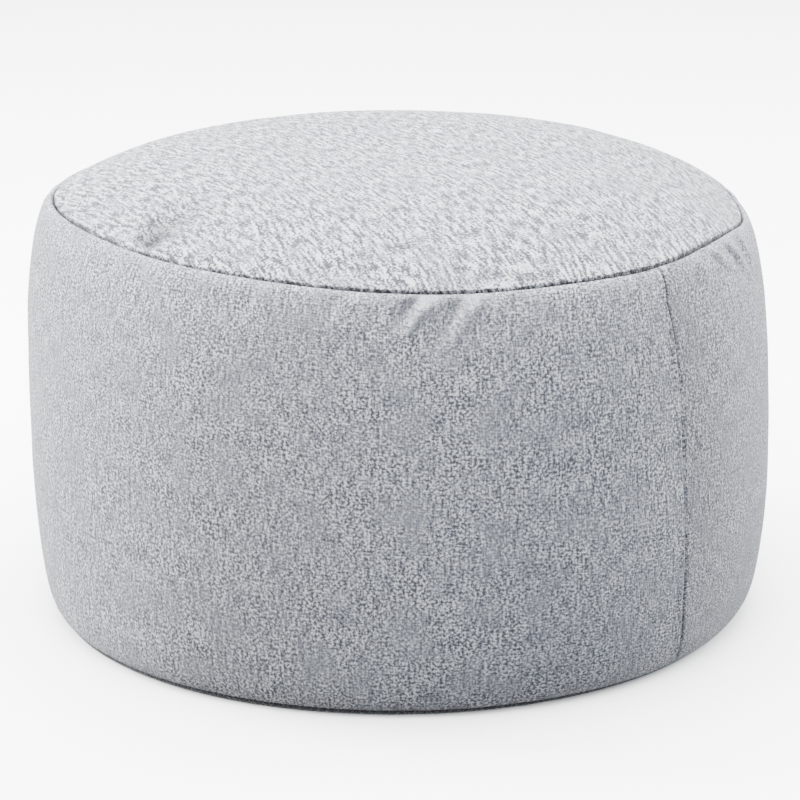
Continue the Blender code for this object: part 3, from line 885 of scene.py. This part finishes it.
def heathered_hopsack(name, fleck_share, slub_share, slub_length_mm):
    """The cover's cloth: its relief, its flecks and streaks, and the painted shade and highlight of its
    folds and seams.
    """
    material = bpy.data.materials.new(name)
    material.use_nodes = True
    tree = material.node_tree
    shader = tree.nodes["Principled BSDF"]

    cloth = add_node(tree, "ShaderNodeUVMap", uv_map="cloth")["UV"]
    in_mm = add_node(tree, "ShaderNodeVectorMath", {0: cloth, "Scale": 1000.0}, operation="SCALE")["Vector"]
    wander = add_node(tree, "ShaderNodeTexNoise",
                      {"Vector": in_mm, "Scale": 1.0 / WANDER_SPAN_MM, "Detail": GRAIN_DETAIL})["Color"]
    shift = add_node(tree, "ShaderNodeVectorMath",
                     {0: wander, 1: (0.5, 0.5, 0.5)}, operation="SUBTRACT")["Vector"]
    reach = (NOISE_SPREAD * YARN_WANDER_MM,) * 3
    drifted = add_node(tree, "ShaderNodeVectorMath",
                       {0: shift, 1: reach, 2: in_mm}, operation="MULTIPLY_ADD")["Vector"]

    height = hopsack_height(tree, drifted)
    flecks = grain(tree, FLECK_MM, FLECK_MM, in_mm)
    slubs = grain(tree, SLUB_WIDTH_MM, slub_length_mm, drifted)
    patches = grain(tree, PATCH_SPAN_MM, PATCH_SPAN_MM, in_mm)
    lively = add_node(tree, "ShaderNodeMath",
                      {0: patches, 1: LIVELINESS, 2: 1.0}, operation="MULTIPLY_ADD")[0]

    blend = add_node(tree, "ShaderNodeMath", {0: flecks, 1: fleck_share}, operation="MULTIPLY")[0]
    blend = add_node(tree, "ShaderNodeMath",
                     {0: slubs, 1: slub_share, 2: blend}, operation="MULTIPLY_ADD")[0]
    blend = add_node(tree, "ShaderNodeMath", {0: blend, 1: lively, 2: 0.5}, operation="MULTIPLY_ADD")[0]
    raised = add_node(tree, "ShaderNodeMath", {0: height, 1: FLOAT_MEAN}, operation="SUBTRACT")[0]
    blend = add_node(tree, "ShaderNodeMath",
                     {0: raised, 1: FLOAT_SHARE, 2: blend}, operation="MULTIPLY_ADD")[0]
    # painted highlight: where a pucker pulls the cloth smooth, the shade moves towards one pale, even tone
    taut_highlight = add_node(tree, "ShaderNodeAttribute", attribute_name="taut_highlight")["Fac"]
    paler = add_node(tree, "ShaderNodeMath", {0: TAUT_HIGHLIGHT, 1: blend}, operation="SUBTRACT")[0]
    evened = add_node(tree, "ShaderNodeMath", {0: taut_highlight, 1: TAUT_SHARE}, operation="MULTIPLY")[0]
    blend = add_node(tree, "ShaderNodeMath", {0: paler, 1: evened, 2: blend}, operation="MULTIPLY_ADD")[0]

    yarn = add_node(tree, "ShaderNodeValToRGB", {"Fac": blend})["Color"]
    ramp = yarn.node.color_ramp
    ramp.elements[0].color = linear(YARN_DARK)
    ramp.elements[1].color = linear(YARN_LIGHT)
    ramp.elements.new(0.5).color = linear(YARN_MIDDLE)
    # painted shade: the colour is darkened by the shade painted on each point, where light hardly reaches
    painted_shade = add_node(tree, "ShaderNodeAttribute", attribute_name="painted_shade")["Fac"]
    left = add_node(tree, "ShaderNodeMath",
                    {0: painted_shade, 1: PAINTED_SHADE_LEFT - 1.0, 2: 1.0}, operation="MULTIPLY_ADD")[0]
    shaded = add_node(tree, "ShaderNodeVectorMath", {0: yarn, "Scale": left}, operation="SCALE")["Vector"]
    tree.links.new(shaded, shader.inputs["Base Color"])

    fuzz = add_node(tree, "ShaderNodeMath",
                    {0: flecks, 1: FUZZ_SHARE, 2: height}, operation="MULTIPLY_ADD")[0]
    bump = add_node(tree, "ShaderNodeBump",
                    {"Height": fuzz, "Distance": WEAVE_RELIEF, "Strength": 1.0})["Normal"]
    tree.links.new(bump, shader.inputs["Normal"])
    for socket, value in SOFT_SPUN_FINISH.items():
        shader.inputs[socket].default_value = value
    return material


band_cloth = heathered_hopsack("heathered_polyester_hopsack", FLECK_SHARE, SLUB_SHARE, SLUB_LENGTH_MM)
top_cloth = heathered_hopsack("heathered_polyester_hopsack_top",
                              TOP_FLECK_SHARE, TOP_SLUB_SHARE, TOP_SLUB_LENGTH_MM)
for piece, cloth in ((side_band, band_cloth), (top_panel, top_cloth), (base_panel, band_cloth)):
    piece.data.materials.append(cloth)
print("cloth nodes:", len(band_cloth.node_tree.nodes))

# %% [markdown]
# ## Putting each piece on its body
# Each piece rides on the one body there is and stands for its solid, which is hidden.


for piece, node in ((side_band, "side_band"), (top_panel, "top_panel"), (base_panel, "base_panel")):
    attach(piece, "root")
    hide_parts(node)

# %% [markdown]
# ## Floor, light and camera
# A pale floor and a bright, even room stand in for a photo studio. Three broad lights above make the
# crown the brightest face. Two tall lights behind, left and right, lift the edges of the drum, and
# leave its front quieter towards the floor. Weaker fills soften both sides, cooler at the right.
# White paper under a white lamp would throw light up into the folds, so the floor sends none to the
# pouf, and the lamp that whitens it lights nothing else. The camera looks slightly down with a long
# lens.

# %% Floor
FLOOR_REACH = 30.0         # metres from its middle to each edge, so that no view shows the edge
PAPER_WHITE = "#FAFAFA"
PAPER_ROUGHNESS = 0.9


def studio_floor():
    """Matt white paper that is seen and takes shadows, but throws no light back on to the pouf."""
    bm = bmesh.new()
    bmesh.ops.create_grid(bm, x_segments=1, y_segments=1, size=FLOOR_REACH)
    floor_piece = finished("floor", bm)
    paper = bpy.data.materials.new("pale_paper")
    paper.use_nodes = True
    shader = paper.node_tree.nodes["Principled BSDF"]
    shader.inputs["Base Color"].default_value = linear(PAPER_WHITE)
    shader.inputs["Roughness"].default_value = PAPER_ROUGHNESS
    floor_piece.data.materials.append(paper)
    floor_piece.visible_diffuse = False
    return floor_piece


studio_paper = studio_floor()

# %% Light
WHITE = (1.0, 1.0, 1.0)
COOL = (0.87, 0.98, 1.13)
Softbox = namedtuple("Softbox", "name place size power colour")
SOFTBOXES = (
    Softbox(name="overhead", place=(0.0, 0.2, 2.2), size=(1.6, 1.2), power=73.0, colour=WHITE),
    Softbox(name="behind_above", place=(0.0, 1.5, 1.6), size=(2.4, 1.2), power=52.0, colour=WHITE),
    Softbox(name="front_above", place=(0.0, -1.1, 2.2), size=(1.2, 0.8), power=50.0, colour=WHITE),
    Softbox(name="left_edge", place=(-1.7, 0.6, 0.7), size=(0.8, 1.4), power=87.0, colour=WHITE),
    Softbox(name="right_edge", place=(1.8, 0.7, 0.7), size=(0.8, 1.4), power=47.0, colour=WHITE),
    Softbox(name="left_side", place=(-1.8, -0.6, 1.0), size=(0.8, 0.8), power=13.0, colour=WHITE),
    Softbox(name="left_high", place=(-1.6, -1.2, 1.8), size=(0.8, 0.8), power=17.0, colour=WHITE),
    Softbox(name="left_fill", place=(-1.0, -2.2, 1.3), size=(1.0, 1.0), power=12.0, colour=WHITE),
    Softbox(name="right_fill", place=(1.4, -2.0, 1.3), size=(1.6, 1.6), power=14.0, colour=COOL),
    Softbox(name="right_high", place=(1.4, -1.2, 2.0), size=(0.8, 0.8), power=8.0, colour=COOL),
)
LIGHT_AIM = Vector((0.0, 0.0, 0.2))
PAPER_LIGHT_STRENGTH = 13.5
PAPER_LIGHT_ANGLE = 120.0
PAPER_LIGHT_PLACE = (0.0, 0.0, 3.0)
ROOM_STRENGTH = 0.29


def hang_softboxes():
    """The lights on the pouf, each a rectangle turned to it."""
    for box in SOFTBOXES:
        light = bpy.data.lights.new(box.name, "AREA")
        light.shape = "RECTANGLE"
        light.size = box.size[0]
        light.size_y = box.size[1]
        light.energy = box.power
        light.color = box.colour
        lamp = bpy.data.objects.new(box.name, light)
        lamp.location = box.place
        lamp.rotation_euler = (LIGHT_AIM - Vector(box.place)).to_track_quat("-Z", "Y").to_euler()
        bpy.context.scene.collection.objects.link(lamp)


def light_room(strength):
    """A little even light from all round."""
    room = bpy.data.worlds.new("room")
    room.use_nodes = True
    room.node_tree.nodes["Background"].inputs["Color"].default_value = (1.0, 1.0, 1.0, 1.0)
    room.node_tree.nodes["Background"].inputs["Strength"].default_value = strength
    bpy.context.scene.world = room


def light_the_paper(strength):
    """Soft light from straight above on the floor alone: it looks white and the pouf keeps its shade."""
    light = bpy.data.lights.new("paper_light", "SUN")
    light.angle = radians(PAPER_LIGHT_ANGLE)
    light.energy = strength
    lamp = bpy.data.objects.new("paper_light", light)
    lamp.location = PAPER_LIGHT_PLACE
    bpy.context.scene.collection.objects.link(lamp)
    only_paper = bpy.data.collections.new("only_paper")
    only_paper.objects.link(studio_paper)
    lamp.light_linking.receiver_collection = only_paper


hang_softboxes()
light_the_paper(PAPER_LIGHT_STRENGTH)
light_room(ROOM_STRENGTH)
print(len(SOFTBOXES), "softboxes,", sum(box.power for box in SOFTBOXES), "W in all")

# %% Camera
CAMERA_DISTANCE = 2.4
CAMERA_ELEVATION = 16.96
CAMERA_LENS_MM = 159.7
CAMERA_AIM = Vector((0.0003, 0.0, 0.1369))


def place_camera():
    """A long lens that looks at the middle of the pouf from the front."""
    lens = bpy.data.cameras.new("camera")
    lens.lens = CAMERA_LENS_MM
    camera = bpy.data.objects.new("camera", lens)
    tilt = radians(CAMERA_ELEVATION)
    back = Vector((0.0, -cos(tilt), sin(tilt)))
    camera.location = CAMERA_AIM + CAMERA_DISTANCE * back
    camera.rotation_euler = (-back).to_track_quat("-Z", "Y").to_euler()
    bpy.context.scene.collection.objects.link(camera)
    bpy.context.scene.camera = camera
    print("camera at", [round(value, 3) for value in camera.location])


place_camera()
